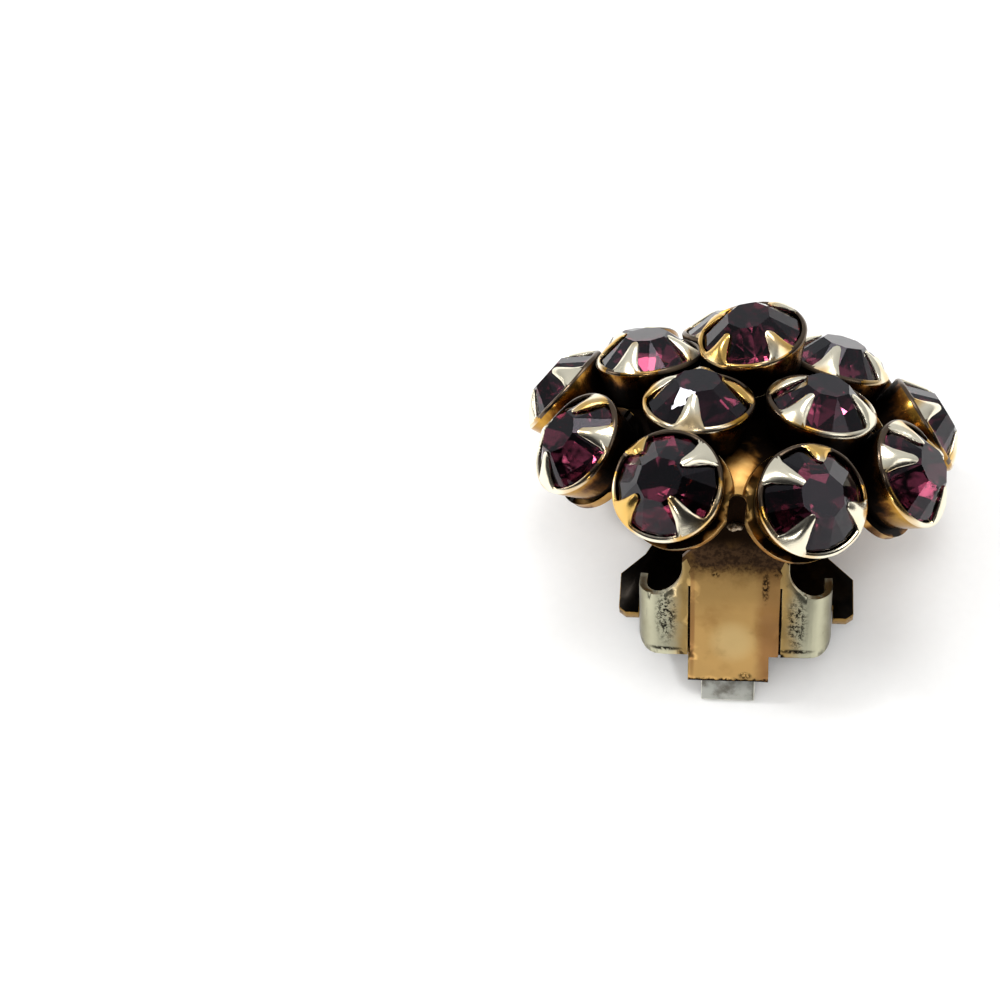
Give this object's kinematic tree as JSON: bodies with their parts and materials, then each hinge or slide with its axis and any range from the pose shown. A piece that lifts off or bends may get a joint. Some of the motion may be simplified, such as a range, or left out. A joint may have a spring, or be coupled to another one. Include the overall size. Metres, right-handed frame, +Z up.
{
  "type": "clip-on earring",
  "caption": "Clip-on earring with a domed cluster of dark amethyst glass stones in prong cups on a stamped gold-tone plate, and a sprung, hinged clip.",
  "frame": {"origin": "on the floor under the middle of the earring's box, in the pose in which it lies", "axes": "+Z up; +X along the hinge pin; the clip's strip faces -Y, the dome's far stones face +Y"},
  "size_m": [0.0244, 0.0238, 0.0157],
  "materials": {
    "antique_gold_plate": "worn gold plate with dark patina",
    "amethyst_glass": "polished facets, foiled back",
    "steel_pin": "satin",
    "spring_steel": "rolled, lightly tarnished",
    "worn_nickel_plate": "worn plating, dark with age"
  },
  "bodies": {
    "earring": {"setting": "antique_gold_plate", "stone_apex": "amethyst_glass", "stone_inner_1": "amethyst_glass", "stone_inner_2": "amethyst_glass", "stone_inner_3": "amethyst_glass", "stone_inner_4": "amethyst_glass", "stone_inner_5": "amethyst_glass", "stone_outer_1": "amethyst_glass", "stone_outer_2": "amethyst_glass", "stone_outer_3": "amethyst_glass", "stone_outer_4": "amethyst_glass", "stone_outer_5": "amethyst_glass", "stone_outer_6": "amethyst_glass", "stone_outer_7": "amethyst_glass", "stone_outer_8": "amethyst_glass", "stone_outer_9": "amethyst_glass", "hinge_pin": "steel_pin", "clip_spring": "spring_steel"},
    "paddle": {"clip_paddle": "worn_nickel_plate"}
  },
  "joints": [
    {"name": "clip_hinge", "type": "hinge", "parent": "earring", "child": "paddle", "pos_m": [-0.00009, -0.008, 0.00246], "axis": [-1, 0, 0], "range_deg": [0, 80], "stiffness_Nm_per_rad": 0.002, "springref_deg": -57.3}
  ]
}
